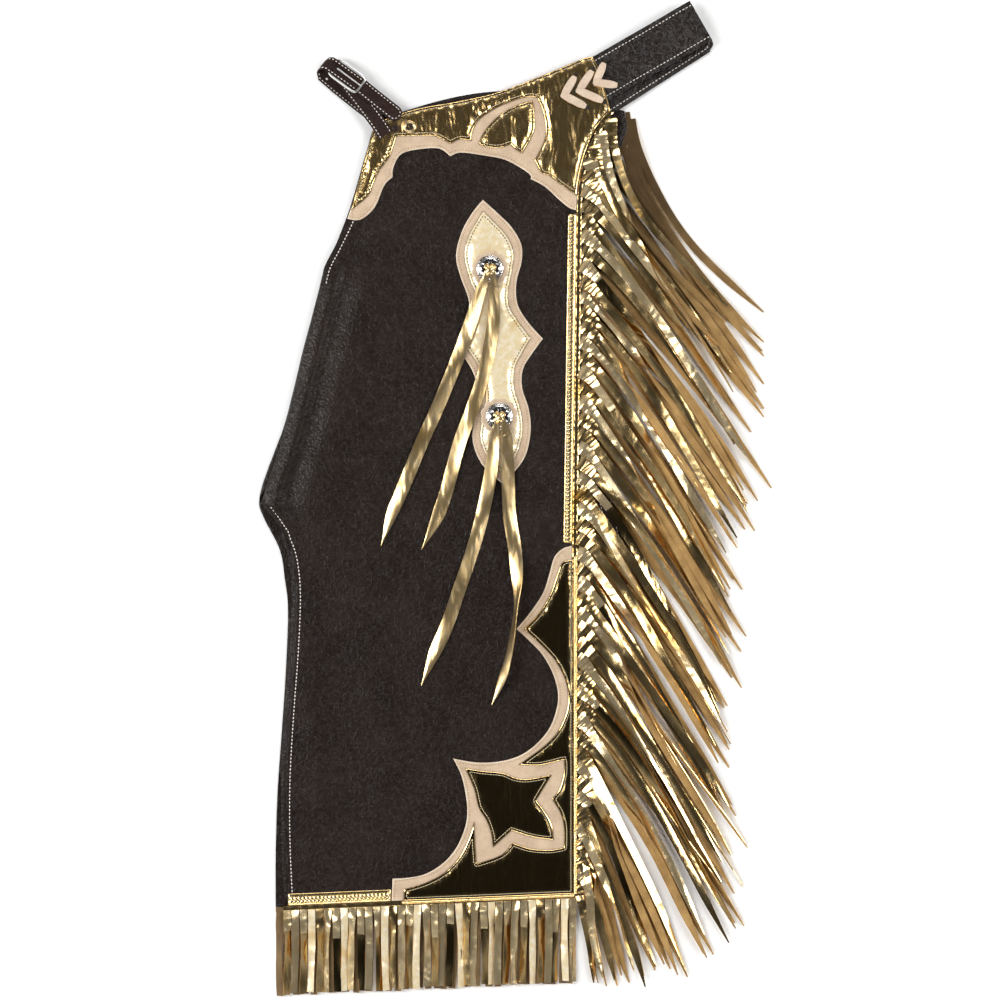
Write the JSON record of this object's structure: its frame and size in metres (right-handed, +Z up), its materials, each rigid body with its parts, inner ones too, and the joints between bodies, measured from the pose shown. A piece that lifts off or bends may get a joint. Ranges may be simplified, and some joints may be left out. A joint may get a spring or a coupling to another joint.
{
  "type": "leather chaps",
  "caption": "Western riding chaps in brown leather with gold leather yoke, trim and long fringe, folded leg on leg and lying flat.",
  "frame": {"origin": "middle of the bounding box on the surface that the chaps lie on", "axes": "+Y towards the waist, +X towards the fringed outer edge, +Z up from the surface"},
  "size_m": [0.5432, 1.0514, 0.0172],
  "materials": {
    "leather": "pebbled, satin",
    "belt_leather": "creased, satin",
    "strap_leather": "smooth, satin",
    "gold_leather": "metallic gold foil",
    "underlay_leather": "natural, matte",
    "suede_back": "suede, matte",
    "silver_metal": "polished"
  },
  "bodies": {
    "root": {"leg_panel": "leather", "under_leg_panel": "leather", "inner_layers": "leather", "yoke_underlay": "underlay_leather", "yoke": "gold_leather", "yoke_leaf": "gold_leather", "corner_underlay": "underlay_leather", "corner_overlay": "gold_leather", "corner_star": "gold_leather", "plate_underlay": "underlay_leather", "plate": "gold_leather", "rosette_upper": "underlay_leather", "rosette_lower": "underlay_leather", "concho_upper": "silver_metal", "concho_lower": "silver_metal", "strings_upper": "gold_leather", "strings_lower": "gold_leather", "outer_binding": "gold_leather", "hem_binding": "gold_leather", "side_fringe": "gold_leather", "hem_fringe": "gold_leather", "under_side_fringe": "suede_back", "under_hem_fringe": "suede_back", "back_belt": "belt_leather", "lace_chevron_1": "underlay_leather", "lace_chevron_2": "underlay_leather", "lace_chevron_3": "underlay_leather", "buckle_strap": "strap_leather", "buckle_frame": "silver_metal", "buckle_tongue": "silver_metal", "billet_strap": "strap_leather", "grommet": "silver_metal", "rivet": "leather", "leg_strap": "strap_leather"}
  },
  "joints": []
}
